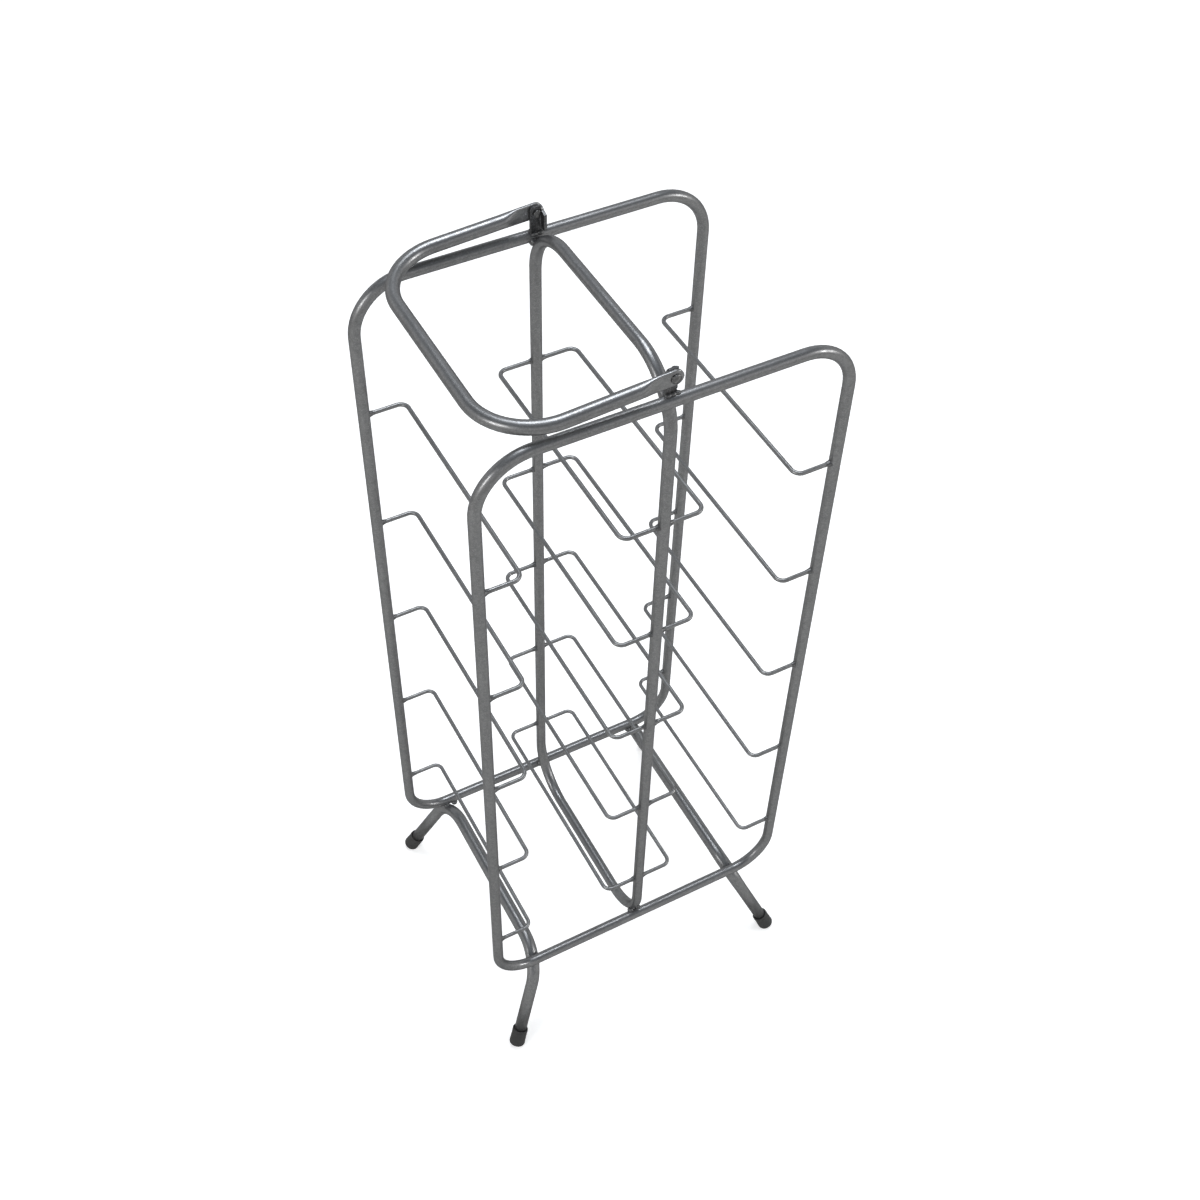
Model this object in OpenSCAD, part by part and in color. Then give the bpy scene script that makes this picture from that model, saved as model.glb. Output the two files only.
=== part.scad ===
// Bottle rack of welded steel tube: a front loop, a back loop and a centre
// loop between them, with two columns of wire cradles, two splayed foot rails
// in rubber caps, and a carrying handle that folds down on either side.
// Millimetres. +X is right along the front, +Y is towards the back, +Z is up.
// The origin is on the floor, under the middle of the rack.

/* [Frame] */
// Width of the front and back loops, between the centres of their posts
frame_w = 250; // [205:5:320]
// Depth from the front loop to the back loop, between centres
frame_d = 174; // [140:5:230]
// Height of the front and back loops, between the centres of their rails
frame_h = 563; // [455:1:680]
// Height of the bottom rails' centres above the floor
stand_h = 81; // [66:1:110]
// Outside diameter of the tube of the loops
tube_d = 8; // [6:0.5:10]
// Bend radius of the tube at the loops' top corners
top_bend_r = 37; // [25:1:50]
// Bend radius of the tube at the loops' bottom corners
bottom_bend_r = 32; // [22:1:42]
// Bend radius of the tube at the centre loop's corners
centre_bend_r = 40; // [28:1:50]

/* [Cradles] */
// Diameter of the cradle wire
wire_d = 3; // [2:0.25:5]
// Distance from a post's centre to the wire that carries the bottle
cradle_reach = 29; // [24:0.5:36]
// Bend radius of the wire
wire_bend_r = 6; // [4:0.5:10]
// Height of the lowest cradles above the bottom rails
first_level = 57; // [45:0.5:70]

/* [Feet] */
// Outside diameter of the foot rails' tube
foot_tube_d = 10; // [8:0.5:13]
// Distance from the start of a rail's corner bend to the foot rail
foot_inset = 3; // [0.5:0.5:20]
// Bend radius of the foot rails' tube
foot_bend_r = 35; // [28:1:44]
// How far inside the loops a foot rail begins to bend down
foot_bend_lead = 27; // [20:1:34]
// Lean of the legs out to the side, away from upright
leg_lean_side = 22; // [5:0.5:30]
// Angle through which a foot rail bends down into a leg
leg_turn = 75.5; // [62:0.5:85]
// Outside diameter of the rubber caps
cap_d = 13; // [12:0.5:18]
// Length of the rubber caps
cap_len = 16; // [13:0.5:26]
// Thickness of a cap's bottom, under the tube's end
cap_floor_t = 4; // [3.5:0.5:6]
// Rounding of a cap's bottom edge
cap_round_r = 2; // [0.5:0.25:3]
// Depth of the flat where a cap stands on the floor
cap_flat = 0.9; // [0.3:0.1:1.5]

/* [Handle] */
// Outside diameter of the handle's tube
handle_d = 9; // [7:0.5:12]
// Distance from the pivots to the centre of the handle's grip
handle_reach = 109.5; // [90:0.5:140]
// Bend radius of the handle's tube
handle_bend_r = 41; // [30:1:50]
// Height of the pivots above the centres of the top rails
pivot_rise = 17.5; // [14:0.5:26]
// Thickness of the handle's flattened ends
tongue_t = 2.6; // [2:0.2:4]
// Width of the handle's flattened ends
tongue_w = 11; // [9:0.5:14]
// Length of a flattened end, from its pivot to where it widens into the tube
tongue_len = 10; // [9:0.5:14]
// Length over which a flattened end widens into the round tube
blend_len = 13; // [10:1:20]
// Gap left between the handle and the top rails where it stops
stop_gap = 0.3; // [0.2:0.1:1]
// How far the handle hangs at rest, as a share of the tilt at which it stops
rest_share = 0.55; // [0:0.05:1]

/* [Pivots] */
// Thickness of the pivot brackets' sheet
bracket_t = 2; // [1.5:0.25:3]
// Width of a pivot bracket across its face
bracket_w = 9; // [8:0.5:12]
// Depth of the bracket's side flange
flange_depth = 5; // [3:0.5:7]
// Height of the bracket above its pivot
bracket_rise = 5; // [4.5:0.5:8]
// Diameter of the rivets' shanks
rivet_d = 4; // [3:0.25:5]
// Diameter of the rivets' heads
rivet_head_d = 6.6; // [6.6:0.2:9]
// Height of the rivets' heads
rivet_head_h = 1.6; // [1:0.2:3]
// Gap between the rivet's shank and the hole in the handle, all round
pivot_gap = 0.06; // [0.02:0.01:0.1]
// Gap on each side of a flattened end, to its bracket and its rivet head
side_gap = 0.3; // [0.2:0.05:0.5]

/* [Hidden] */
LEVELS = 5;
SIDES = ["left", "right"];
ENDS = ["front", "back"];
NODES = [
    "front_frame", "back_frame", "centre_frame",
    for (side = SIDES) str("foot_rail_", side),
    for (end = ENDS) for (side = SIDES) str("foot_cap_", end, "_", side),
    for (side = SIDES) for (row = ["outer", "inner"]) for (level = [1:LEVELS])
        cradle_name(side, row, level),
    for (end = ENDS) str("bracket_", end),
    for (end = ENDS) str("rivet_", end),
    "handle",
];
node = "all";

// Sides of the round shapes
tube_fn = 48;
wire_fn = 32;
blend_fn = 32;
// How far inside the rail's centre the bracket stands, as a share of its radius
BRACKET_SET = 0.775;
// From the rail up to the bracket's flange, and the rounding of its top corner
FLANGE_GAP = 2.5;
BRACKET_CORNER_R = 2.5;
// The rivet's flat inner head, and how much narrower it is than the outer one
INNER_HEAD_H = 1.2;
INNER_HEAD_STEP = 0.6;
// How far the rivet's shank runs into its outer head
SHANK_OVERRUN = 0.2;
// How far a cut runs past the face that it opens
CUT_OVERRUN = 1;
// The length of the end slices that a hull joins
SLIVER = 0.01;
// The steps along a bend at which its distance to a rail is taken
TURN_STEP = 0.25;
// The search for the tilt at which the handle stops
TILT_MAX = 40;
TILT_HALVINGS = 30;
// Thousandths of a millimetre in a millimetre
PER_MM = 1000;

tube_r = tube_d / 2;
foot_tube_r = foot_tube_d / 2;
cap_r = cap_d / 2;
handle_r = handle_d / 2;
wire_r = wire_d / 2;
rivet_r = rivet_d / 2;

bottom_z = stand_h;
top_z = stand_h + frame_h;
front_y = -frame_d / 2;
back_y = frame_d / 2;
level_pitch = (frame_h - first_level) / LEVELS;

// The centre loop's corners touch the rails, so it stands this far past them.
// Whole thousandths keep its bends in line with its straight runs.
centre_overrun = round(PER_MM * (centre_bend_r
    - sqrt(pow(centre_bend_r + tube_d, 2) - pow(centre_bend_r, 2)))) / PER_MM;

// The foot rails, and the tilt of the legs away from upright
foot_x = frame_w / 2 - bottom_bend_r - foot_inset;
foot_rail_z = bottom_z + foot_rail_drop();
foot_bend_y = frame_d / 2 - foot_bend_lead;
foot_bend_depth = foot_bend_r * (1 - cos(leg_turn)) * cos(leg_lean_side);
leg_tilt_cos = sin(leg_turn) * cos(leg_lean_side);
leg_tilt_sin = sqrt(1 - pow(leg_tilt_cos, 2));
cap_tip_z = cap_round_r - cap_flat - cap_round_r * leg_tilt_cos
    + (cap_r - cap_round_r) * leg_tilt_sin;
leg_len = (foot_rail_z - foot_bend_depth - cap_tip_z) / leg_tilt_cos;

// The bracket, the flattened end and the rivet's head, from inside to outside
bracket_y = back_y - BRACKET_SET * tube_r;
tongue_y = bracket_y + bracket_t + side_gap;
rivet_head_y = tongue_y + tongue_t + side_gap;
handle_y = tongue_y + tongue_t / 2;
pivot_z = top_z + pivot_rise;
arm_start = tongue_len + blend_len;
rest_angle = rest_share * lowest_clear_tilt(0, TILT_MAX, TILT_HALVINGS);

function cradle_name(side, row, level) = str("cradle_", side, "_", row, "_", level);
function unit(v) = v / norm(v);
function side_sign(side) = side == "left" ? -1 : 1;
function across(v) = unit(cross(v, abs(v.z) < 0.9 ? [0, 0, 1] : [1, 0, 0]));

// Height of the foot rail above the bottom rail, so that its bend just touches
// the rail's underside
function foot_rail_drop() =
    let (reach = tube_r + foot_tube_r)
    min([for (turn = [0:TURN_STEP:leg_turn])
        let (
            past = foot_bend_r * sin(turn) - foot_bend_lead,
            down = foot_bend_r * (1 - cos(turn)) * cos(leg_lean_side)
        )
        if (abs(past) < reach) down - sqrt(pow(reach, 2) - pow(past, 2))]);

// Half of the handle's centre line, as [distance from the pivots, distance
// from the middle plane]
function handle_line() = [
    for (out = [arm_start:1:handle_reach - handle_bend_r]) [out, handle_y],
    for (turn = [0:1:90]) [
        handle_reach - handle_bend_r * (1 - sin(turn)),
        handle_y - handle_bend_r * (1 - cos(turn)),
    ],
];

// Distance from a point to the centre line of a top rail and its left corner
function rail_distance(x, y, z) =
    let (
        bend_x = top_bend_r - frame_w / 2,
        bend_z = top_z - top_bend_r,
        in_plane = x > bend_x ? z - top_z : norm([x - bend_x, z - bend_z]) - top_bend_r
    )
    norm([y - frame_d / 2, in_plane]);

function handle_clearance(tilt) =
    min([for (p = handle_line()) rail_distance(
        -p[0] * cos(tilt), p[1], pivot_z - p[0] * sin(tilt))])
    - tube_r - handle_r - stop_gap;

// The steepest tilt at which the handle clears the rails, halving the interval
function lowest_clear_tilt(low, high, steps) =
    steps == 0 ? low
    : handle_clearance((low + high) / 2) > 0
        ? lowest_clear_tilt((low + high) / 2, high, steps - 1)
        : lowest_clear_tilt(low, (low + high) / 2, steps - 1);

// Puts a shape made along +Z at a point, with its own X and Z axes turned
module place(origin, x_dir, z_dir) {
    y_dir = cross(z_dir, x_dir);
    multmatrix([
        [x_dir.x, y_dir.x, z_dir.x, origin.x],
        [x_dir.y, y_dir.y, z_dir.y, origin.y],
        [x_dir.z, y_dir.z, z_dir.z, origin.z],
        [0, 0, 0, 1],
    ]) children();
}

// A round bar through the points, with its own bend radius at each corner
module bent_rod(points, bends, rod_r, closed = false, fn = tube_fn) {
    count = len(points);
    last = closed ? count : count - 1;
    dirs = [for (i = [0:last - 1]) unit(points[(i + 1) % count] - points[i])];
    is_corner = [for (i = [0:count - 1]) closed || (i > 0 && i < count - 1)];
    turns = [for (i = [0:count - 1])
        is_corner[i] ? acos(dirs[(i + count - 1) % count] * dirs[i]) : 0];
    trims = [for (i = [0:count - 1]) bends[i] * tan(turns[i] / 2)];
    for (i = [0:last - 1]) {
        after = (i + 1) % count;
        run = norm(points[after] - points[i]) - trims[i] - trims[after];
        place(points[i] + dirs[i] * trims[i], across(dirs[i]), dirs[i])
            cylinder(r = rod_r, h = run, $fn = fn);
    }
    for (i = [0:count - 1]) if (is_corner[i]) {
        before = dirs[(i + count - 1) % count];
        inward = (dirs[i] - before * cos(turns[i])) / sin(turns[i]);
        centre = points[i] - before * trims[i] + inward * bends[i];
        place(centre, -inward, cross(-inward, before))
            rotate_extrude(angle = turns[i], $fn = 2 * fn)
                translate([bends[i], 0]) circle(r = rod_r, $fn = fn);
    }
}

// Front or back loop: posts at the sides, a rail at the top and the bottom
module side_loop(y) {
    color([0.45, 0.46, 0.48])
        bent_rod(
            [
                [-frame_w / 2, y, bottom_z], [-frame_w / 2, y, top_z],
                [frame_w / 2, y, top_z], [frame_w / 2, y, bottom_z],
            ],
            [bottom_bend_r, top_bend_r, top_bend_r, bottom_bend_r],
            tube_r, closed = true);
}

// Centre loop, running front to back between the two columns of bottles
module centre_loop() {
    low_z = bottom_z - centre_overrun;
    high_z = top_z + centre_overrun;
    color([0.42, 0.43, 0.44])
        bent_rod(
            [[0, front_y, low_z], [0, front_y, high_z], [0, back_y, high_z], [0, back_y, low_z]],
            [for (corner = [1:4]) centre_bend_r],
            tube_r, closed = true);
}

// One wire cradle: two short arms from the posts at post_x and a long run
module cradle(post_x, direction, level) {
    z = bottom_z + first_level + (level - 1) * level_pitch;
    run_x = post_x + direction * cradle_reach;
    color([0.55, 0.56, 0.57]) difference() {
        bent_rod(
            [[post_x, front_y, z], [run_x, front_y, z], [run_x, back_y, z], [post_x, back_y, z]],
            [0, wire_bend_r, wire_bend_r, 0], wire_r, fn = wire_fn);
        for (y = [front_y, back_y])
            translate([post_x, y, z - wire_d])
                cylinder(r = tube_r, h = 2 * wire_d, $fn = tube_fn);
    }
}

// The plane of a foot rail, leaning out to its side: the run lies along +Y
module in_foot_plane(side) {
    translate([side * foot_x, 0, foot_rail_z]) rotate([0, -side * leg_lean_side, 0])
        children();
}

// In that plane, the centre of the back bend, which turns about +Z from +X
module at_foot_bend() {
    translate([0, foot_bend_y, -foot_bend_r]) rotate([0, -90, 0]) children();
}

// In that plane, the end of the back bend, with +Z down along the leg
module at_leg() {
    at_foot_bend() rotate([0, 0, leg_turn]) translate([foot_bend_r, 0, 0])
        rotate([-90, 0, 0]) children();
}

// The bend: the part of a ring between its start and the leg's first plane
module foot_bend() {
    span = 2 * (foot_bend_r + foot_tube_r);
    intersection() {
        rotate_extrude($fn = 2 * tube_fn)
            translate([foot_bend_r, 0]) circle(r = foot_tube_r, $fn = tube_fn);
        translate([-span / 2, 0, -span / 2]) cube(span);
        rotate([0, 0, leg_turn]) translate([-span / 2, -span, -span / 2]) cube(span);
    }
}

// Foot rail: a straight run under the two loops, bent down into a leg each end
module foot_rail(side) {
    color([0.45, 0.46, 0.48]) in_foot_plane(side) {
        translate([0, -foot_bend_y, 0]) rotate([-90, 0, 0])
            cylinder(r = foot_tube_r, h = 2 * foot_bend_y, $fn = tube_fn);
        for (end = ENDS) at_end(end) {
            at_foot_bend() foot_bend();
            at_leg() cylinder(r = foot_tube_r, h = leg_len - cap_floor_t, $fn = tube_fn);
        }
    }
}

// Rubber cap over a leg's end, with a flat on the floor
module foot_cap(side, end) {
    color([0.1, 0.1, 0.1]) difference() {
        in_foot_plane(side) at_end(end) at_leg()
            translate([0, 0, leg_len]) mirror([0, 0, 1]) cap_body();
        translate([0, 0, -cap_d])
            cube([4 * frame_w, 4 * frame_d, 2 * cap_d], center = true);
    }
}

// The cap before its flat: closed at z = 0, open at the top
module cap_body() {
    rotate_extrude($fn = tube_fn) difference() {
        union() {
            translate([0, cap_round_r]) square([cap_r, cap_len - cap_round_r]);
            square([cap_r - cap_round_r, cap_len]);
            intersection() {
                translate([cap_r - cap_round_r, cap_round_r])
                    circle(r = cap_round_r, $fn = wire_fn);
                square([cap_r, cap_len]);
            }
        }
        translate([0, cap_floor_t]) square([foot_tube_r, cap_len]);
    }
}

// A round hole or pin along Y at the pivot, between two depths
module pivot_rod(r, from_y, to_y) {
    translate([0, from_y, pivot_z]) rotate([-90, 0, 0])
        cylinder(r = r, h = to_y - from_y, $fn = tube_fn);
}

// Sheet bracket on the back rail, with a flange on its right side
module bracket() {
    flange_z = top_z + tube_r + FLANGE_GAP;
    high_z = pivot_z + bracket_rise;
    color([0.3, 0.31, 0.33]) difference() {
        union() {
            translate([-bracket_w / 2, bracket_y, top_z])
                cube([bracket_w, bracket_t, high_z - top_z]);
            translate([bracket_w / 2 - bracket_t, bracket_y - flange_depth, flange_z])
                cube([bracket_t, flange_depth + bracket_t, high_z - flange_z]);
        }
        translate([-bracket_w, back_y, top_z]) rotate([0, 90, 0])
            cylinder(r = tube_r, h = 2 * bracket_w, $fn = tube_fn);
        pivot_rod(rivet_r, bracket_y - CUT_OVERRUN, bracket_y + bracket_t + CUT_OVERRUN);
        corner_cut(high_z);
    }
}

// Rounds off the top left corner of the bracket's plate
module corner_cut(high_z) {
    translate([-bracket_w / 2, bracket_y - CUT_OVERRUN, high_z]) rotate([-90, 0, 0])
        linear_extrude(bracket_t + 2 * CUT_OVERRUN) difference() {
            translate([-CUT_OVERRUN, -CUT_OVERRUN]) square(BRACKET_CORNER_R + CUT_OVERRUN);
            translate([BRACKET_CORNER_R, BRACKET_CORNER_R])
                circle(r = BRACKET_CORNER_R, $fn = tube_fn);
        }
}

// Rivet through the bracket and the handle: a low head inside, a dome outside
module rivet() {
    color([0.25, 0.26, 0.28]) {
        pivot_rod(rivet_r, bracket_y - INNER_HEAD_H, rivet_head_y + SHANK_OVERRUN);
        difference() {
            pivot_rod(rivet_head_d / 2 - INNER_HEAD_STEP, bracket_y - INNER_HEAD_H, bracket_y);
            translate([bracket_w / 2 - bracket_t, bracket_y - flange_depth, pivot_z - cap_d])
                cube([bracket_t, flange_depth, 2 * cap_d]);
        }
        translate([0, rivet_head_y, pivot_z]) rotate([-90, 0, 0]) dome();
    }
}

// A low dome on the plane z = 0
module dome() {
    ball_r = (pow(rivet_head_d / 2, 2) + pow(rivet_head_h, 2)) / (2 * rivet_head_h);
    intersection() {
        translate([0, 0, rivet_head_h - ball_r]) sphere(r = ball_r, $fn = 2 * tube_fn);
        cylinder(r = rivet_head_d, h = rivet_head_d, $fn = tube_fn);
    }
}

// Flattened end of the handle, lying along -X from the pivot at the origin
module tongue() {
    translate([0, -tongue_t / 2, 0]) rotate([-90, 0, 0])
        cylinder(r = tongue_w / 2, h = tongue_t, $fn = tube_fn);
    translate([-tongue_len, -tongue_t / 2, -tongue_w / 2])
        cube([tongue_len, tongue_t, tongue_w]);
}

// The tube's end between its round part and its flattened end
module tongue_blend() {
    hull() {
        translate([-tongue_len, -tongue_t / 2, -tongue_w / 2])
            cube([SLIVER, tongue_t, tongue_w]);
        translate([-arm_start, 0, 0]) rotate([0, 90, 0])
            cylinder(r = handle_r, h = SLIVER, $fn = blend_fn);
    }
}

// Carrying handle, folded down to the left
module handle() {
    color([0.45, 0.46, 0.48])
        translate([0, 0, pivot_z]) rotate([0, -rest_angle, 0]) difference() {
            union() {
                bent_rod(
                    [
                        [-arm_start, -handle_y, 0], [-handle_reach, -handle_y, 0],
                        [-handle_reach, handle_y, 0], [-arm_start, handle_y, 0],
                    ],
                    [0, handle_bend_r, handle_bend_r, 0], handle_r);
                for (end = [-1, 1]) translate([0, end * handle_y, 0]) {
                    tongue();
                    tongue_blend();
                }
            }
            rotate([-90, 0, 0])
                cylinder(r = rivet_r + pivot_gap, h = 2 * frame_d, center = true, $fn = tube_fn);
        }
}

// Mirrors the parts of the back half to the front
module at_end(end) {
    if (end == "front") mirror([0, 1, 0]) children();
    else children();
}

function wanted(name) = node == "all" || node == name;

if (wanted("front_frame")) side_loop(front_y);
if (wanted("back_frame")) side_loop(back_y);
if (wanted("centre_frame")) centre_loop();
for (side = SIDES) {
    sign = side_sign(side);
    if (wanted(str("foot_rail_", side))) foot_rail(sign);
    for (end = ENDS)
        if (wanted(str("foot_cap_", end, "_", side))) foot_cap(sign, end);
    for (level = [1:LEVELS]) {
        if (wanted(cradle_name(side, "outer", level))) cradle(sign * frame_w / 2, -sign, level);
        if (wanted(cradle_name(side, "inner", level))) cradle(0, sign, level);
    }
}
for (end = ENDS) {
    if (wanted(str("bracket_", end))) at_end(end) bracket();
    if (wanted(str("rivet_", end))) at_end(end) rivet();
}
if (wanted("handle")) handle();
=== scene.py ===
"""A bottle rack of welded steel tube, with wire cradles and a folding handle.

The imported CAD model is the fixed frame. This script dresses its tubes and wires,
adds the weld beads, and makes the handle, the pivots and the rubber caps again
in full detail. Everything is in metres: +X to the right, +Y to the back, +Z up.
"""

from __future__ import annotations

import logging
import math
from dataclasses import dataclass, field
from enum import Enum

import bmesh
import bpy
from mathutils import Matrix, Vector


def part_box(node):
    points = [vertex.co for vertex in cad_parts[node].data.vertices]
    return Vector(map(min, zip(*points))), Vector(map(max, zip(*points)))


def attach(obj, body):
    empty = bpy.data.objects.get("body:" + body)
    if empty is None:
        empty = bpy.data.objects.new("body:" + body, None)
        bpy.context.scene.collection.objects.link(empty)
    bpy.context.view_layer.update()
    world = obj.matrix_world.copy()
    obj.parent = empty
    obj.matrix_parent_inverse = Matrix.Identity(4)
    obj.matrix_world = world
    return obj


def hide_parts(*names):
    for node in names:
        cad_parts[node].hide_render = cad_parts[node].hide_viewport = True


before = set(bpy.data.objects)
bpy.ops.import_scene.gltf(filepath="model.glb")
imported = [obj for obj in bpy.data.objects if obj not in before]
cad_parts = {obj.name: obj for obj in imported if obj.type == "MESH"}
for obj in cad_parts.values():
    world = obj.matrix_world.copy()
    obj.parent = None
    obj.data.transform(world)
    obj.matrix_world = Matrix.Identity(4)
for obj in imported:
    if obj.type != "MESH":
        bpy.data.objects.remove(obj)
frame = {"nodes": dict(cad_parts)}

Colour = tuple[float, float, float, float]
Feeds = dict[str | int, object]
Socket = bpy.types.NodeSocket
Finish = bpy.types.Material
Piece = bpy.types.Object
Mesh = bmesh.types.BMesh

LOG = logging.getLogger("bottle_rack")
MM = 0.001
RIPPLE_SCALE = 420.0


class Body(Enum):
    """The two bodies that the rack's one hinge joins."""

    RACK = "rack"
    HANDLE = "handle"


class Slot(Enum):
    """The record's material slots."""

    TUBE = "tube_lacquer"
    WIRE = "wire_lacquer"
    BRACKET = "bracket_steel"
    RIVET = "rivet_steel"
    RUBBER = "foot_rubber"


# ---------------------------------------------------------------- node helpers


@dataclass
class Tree:
    """Adds nodes to one node tree and joins them."""

    tree: bpy.types.NodeTree

    def add(self, kind: str, feeds: Feeds | None = None, **settings: object) -> bpy.types.Node:
        """Add a node.

        Args:
            kind: the node's type name.
            feeds: what its inputs take, by name or number.
            settings: properties to set on it first.

        Returns:
            The new node.
        """
        node = self.tree.nodes.new(kind)
        for name, value in settings.items():
            setattr(node, name, value)
        for key, value in (feeds or {}).items():
            self.feed(node.inputs[key], value)
        return node

    def spot(self) -> Socket:
        """Return the position on the piece."""
        return self.add("ShaderNodeTexCoord").outputs["Object"]

    def feed(self, socket: Socket, value: object) -> None:
        """Link an output to a socket, or set the socket's own value.

        Args:
            socket: the input that takes the value.
            value: an output socket or a plain value.
        """
        if isinstance(value, bpy.types.NodeSocket):
            self.tree.links.new(value, socket)
        else:
            socket.default_value = value

    def math(self, operation: str, *values: object) -> Socket:
        """Add a Math node.

        Args:
            operation: the sum to do.
            values: up to three numbers or outputs.

        Returns:
            The node's output.
        """
        return self.add("ShaderNodeMath", dict(enumerate(values)), operation=operation).outputs[0]

    def ramp(self, value: object, low: float, high: float, to_low: float,
             to_high: float) -> Socket:
        """Map a value from one range to another, clamped.

        Args:
            value: the number or output to map.
            low: where the source range starts.
            high: where the source range ends.
            to_low: the result at its start.
            to_high: the result at its end.

        Returns:
            The mapped output.
        """
        feeds = {"Value": value, "From Min": low, "From Max": high,
                 "To Min": to_low, "To Max": to_high}
        return self.add("ShaderNodeMapRange", feeds, clamp=True).outputs["Result"]

    def noise(self, coords: object, scale: float, detail: float,
              roughness: float = 0.5) -> Socket:
        """Add a noise texture.

        Args:
            coords: the position that it is read at.
            scale: cells to the metre.
            detail: octaves.
            roughness: weight of the finer octaves.

        Returns:
            Its value output.
        """
        feeds = {"Vector": coords, "Scale": scale, "Detail": detail, "Roughness": roughness}
        return self.add("ShaderNodeTexNoise", feeds, noise_dimensions="3D").outputs[0]

    def mix_colour(self, factor: object, first: object, second: object) -> Socket:
        """Mix two colours.

        Args:
            factor: share of the second colour.
            first: colour or output.
            second: colour or output.

        Returns:
            The mixed colour.
        """
        feeds = {0: factor, 6: first, 7: second}
        return self.add("ShaderNodeMix", feeds, data_type="RGBA").outputs[2]


def new_group(name: str, inputs: dict[str, float], outputs: tuple[str, ...]) -> tuple[
        Tree, bpy.types.Node, bpy.types.Node]:
    """Start a shader node group with plain number sockets.

    Args:
        name: the group's name.
        inputs: input names and their default values.
        outputs: output names.

    Returns:
        The tree, its input node and its output node.
    """
    group = bpy.data.node_groups.new(name, "ShaderNodeTree")
    for label, value in inputs.items():
        socket = group.interface.new_socket(label, in_out="INPUT", socket_type="NodeSocketFloat")
        socket.default_value = value
    for label in outputs:
        group.interface.new_socket(label, in_out="OUTPUT", socket_type="NodeSocketFloat")
    tree = Tree(group)
    return tree, tree.add("NodeGroupInput"), tree.add("NodeGroupOutput")


class Effects:
    """The shader node groups that the finishes share."""

    def __init__(self) -> None:
        """Build every group once."""
        self.peel = self.build_peel()
        self.flake = self.build_flake()
        self.mottle = self.build_mottle()
        self.dust = self.build_dust()
        self.wear = self.build_wear()

    @staticmethod
    def build_peel() -> bpy.types.NodeTree:
        """Build the soft ripple of sprayed lacquer.

        Returns:
            The group, which puts out a height.
        """
        tree, given, result = new_group(
            "Orange peel", {"Scale": 700.0, "Fine": 0.35}, ("Height",))
        spot = tree.spot()
        broad = tree.noise(spot, given.outputs["Scale"], 1.0)
        fine = tree.noise(spot, tree.math("MULTIPLY", given.outputs["Scale"], 3.7), 2.0)
        height = tree.math("MULTIPLY_ADD", fine, given.outputs["Fine"], broad)
        tree.feed(result.inputs["Height"], height)
        return tree.tree

    @staticmethod
    def build_flake() -> bpy.types.NodeTree:
        """Build the metal flakes in the lacquer.

        Returns:
            The group, which puts out a sparkle mask and each flake's shade.
        """
        tree, given, result = new_group(
            "Metal flake", {"Scale": 2600.0, "Share": 0.3}, ("Mask", "Shade"))
        spot = tree.spot()
        cells = tree.add("ShaderNodeTexVoronoi", {"Vector": spot, "Scale": given.outputs["Scale"]},
                         feature="F1")
        apart = tree.add("ShaderNodeSeparateColor", {0: cells.outputs["Color"]})
        lit = tree.math("LESS_THAN", apart.outputs["Red"], given.outputs["Share"])
        tree.feed(result.inputs["Mask"], lit)
        tree.feed(result.inputs["Shade"], apart.outputs["Green"])
        return tree.tree

    @staticmethod
    def build_mottle() -> bpy.types.NodeTree:
        """Build the uneven tone of lacquer and rubber.

        Returns:
            The group, which puts out a broad and a fine value.
        """
        tree, given, result = new_group(
            "Mottle", {"Broad scale": 22.0, "Fine scale": 330.0}, ("Broad", "Fine"))
        spot = tree.spot()
        broad = tree.noise(spot, given.outputs["Broad scale"], 3.0)
        fine = tree.noise(spot, given.outputs["Fine scale"], 4.0, 0.6)
        tree.feed(result.inputs["Broad"], tree.ramp(broad, 0.3, 0.7, 0.0, 1.0))
        tree.feed(result.inputs["Fine"], tree.ramp(fine, 0.3, 0.7, 0.0, 1.0))
        return tree.tree

    @staticmethod
    def build_dust() -> bpy.types.NodeTree:
        """Build the thin dust that settles on upward faces.

        Returns:
            The group, which puts out a mask.
        """
        tree, given, result = new_group("Dust", {"Amount": 0.2}, ("Mask",))
        geometry = tree.add("ShaderNodeNewGeometry")
        apart = tree.add("ShaderNodeSeparateXYZ", {0: geometry.outputs["Normal"]})
        facing_up = tree.ramp(apart.outputs["Z"], 0.35, 1.0, 0.0, 1.0)
        spot = tree.spot()
        patches = tree.ramp(tree.noise(spot, 60.0, 5.0, 0.65), 0.38, 0.68, 0.15, 1.0)
        settled = tree.math("MULTIPLY", facing_up, patches)
        tree.feed(result.inputs["Mask"], tree.math("MULTIPLY", settled, given.outputs["Amount"]))
        return tree.tree

    @staticmethod
    def build_wear() -> bpy.types.NodeTree:
        """Build the rubbed edges of sheet, rivets and welds.

        Returns:
            The group, which puts out a mask.
        """
        tree, given, result = new_group("Edge wear", {"Amount": 0.5}, ("Mask",))
        geometry = tree.add("ShaderNodeNewGeometry")
        edges = tree.ramp(geometry.outputs["Pointiness"], 0.52, 0.6, 0.0, 1.0)
        spot = tree.spot()
        broken = tree.ramp(tree.noise(spot, 500.0, 4.0, 0.6), 0.4, 0.6, 0.2, 1.0)
        worn = tree.math("MULTIPLY", edges, broken)
        tree.feed(result.inputs["Mask"], tree.math("MULTIPLY", worn, given.outputs["Amount"]))
        return tree.tree


# -------------------------------------------------------------------- finishes


def new_material(name: str) -> tuple[Finish, Tree, bpy.types.Node]:
    """Start a node material.

    Args:
        name: the material's name.

    Returns:
        The material, its tree and its Principled shader.
    """
    material = bpy.data.materials.new(name)
    material.use_nodes = True
    tree = Tree(material.node_tree)
    shader = next(n for n in tree.tree.nodes if n.type == "BSDF_PRINCIPLED")
    return material, tree, shader


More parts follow.
